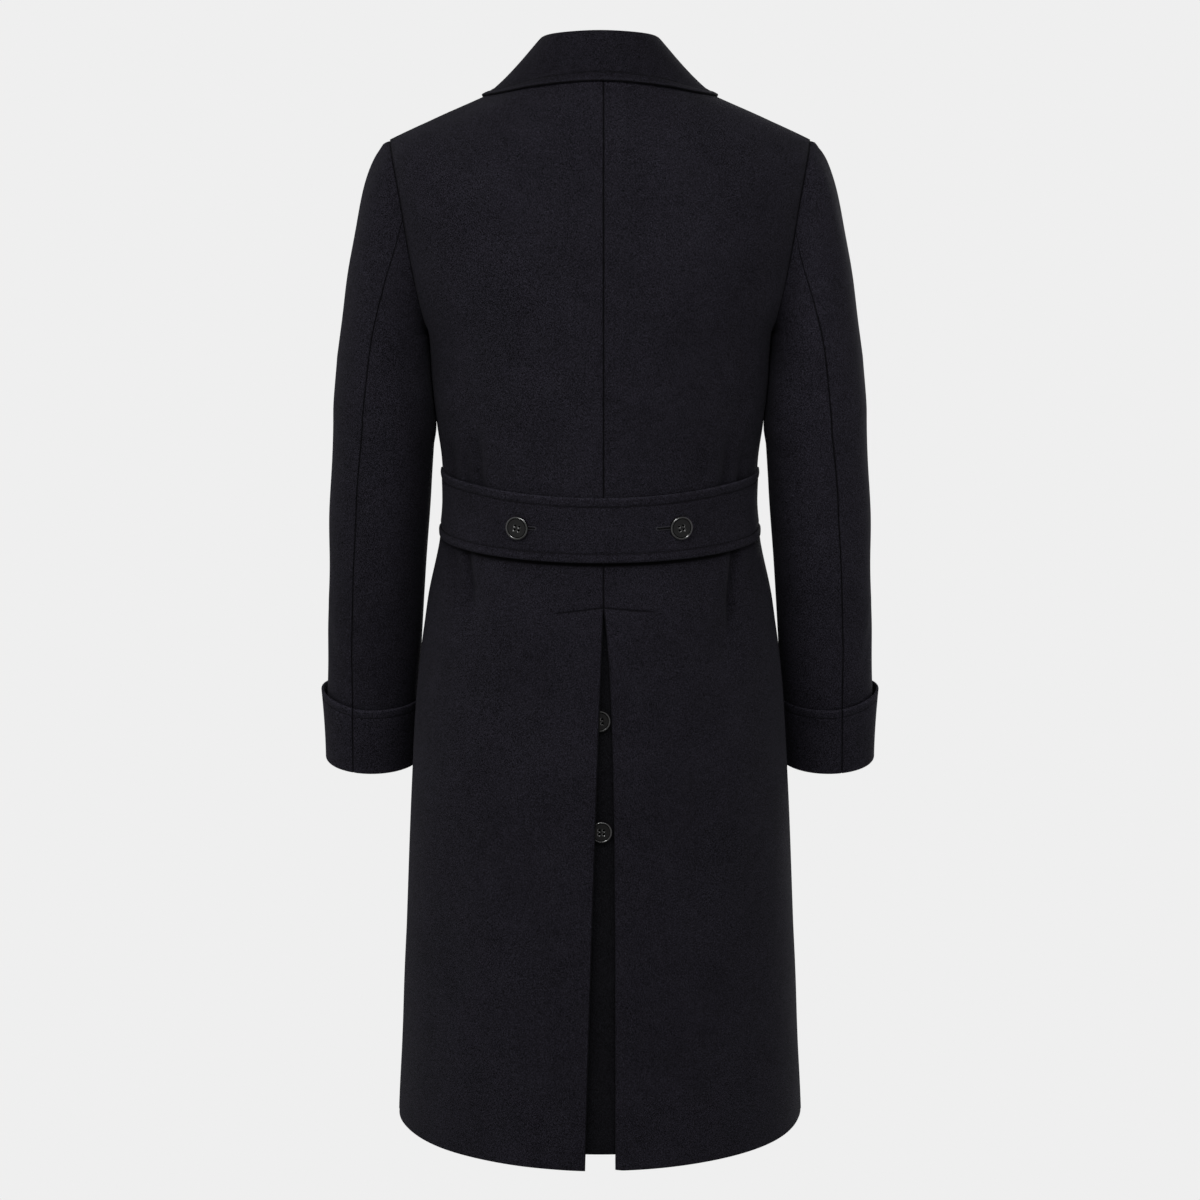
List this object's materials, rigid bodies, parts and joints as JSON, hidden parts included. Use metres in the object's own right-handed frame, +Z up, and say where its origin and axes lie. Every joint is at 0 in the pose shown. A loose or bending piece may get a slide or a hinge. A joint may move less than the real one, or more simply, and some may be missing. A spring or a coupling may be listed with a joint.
{
  "type": "polo coat",
  "caption": "Double-breasted polo coat, hollow and filled out as if worn, with notched lapels, half belt across the back, turned-back cuffs and a buttoned rear vent.",
  "frame": {"origin": "midway between the neck ends of the two shoulder seams, where the wearer's shoulders carry the coat", "axes": "+Z up, the front faces -Y, the wearer's left is +X"},
  "size_m": [0.6264, 0.4088, 1.2312],
  "materials": {
    "wool_cloth": "near-black navy melton wool with a soft brushed nap",
    "horn_button": "dark polished horn"
  },
  "bodies": {
    "root": {"back_left": "wool_cloth", "back_right": "wool_cloth", "front_left": "wool_cloth", "front_right": "wool_cloth", "sleeve_top_left_upper": "wool_cloth", "sleeve_top_left_lower": "wool_cloth", "sleeve_top_right_upper": "wool_cloth", "sleeve_top_right_lower": "wool_cloth", "sleeve_under_left_upper": "wool_cloth", "sleeve_under_left_lower": "wool_cloth", "sleeve_under_right_upper": "wool_cloth", "sleeve_under_right_lower": "wool_cloth", "cuff_left": "wool_cloth", "cuff_right": "wool_cloth", "collar_fall": "wool_cloth", "collar_stand": "wool_cloth", "lapel_left": "wool_cloth", "lapel_right": "wool_cloth", "half_belt": "wool_cloth", "vent_underlap": "wool_cloth", "belt_button_left": "horn_button", "belt_button_right": "horn_button", "vent_button_1": "horn_button", "vent_button_2": "horn_button", "front_button_left_1": "horn_button", "front_button_left_2": "horn_button", "front_button_left_3": "horn_button", "front_button_right_1": "horn_button", "front_button_right_2": "horn_button", "front_button_right_3": "horn_button"}
  },
  "joints": []
}
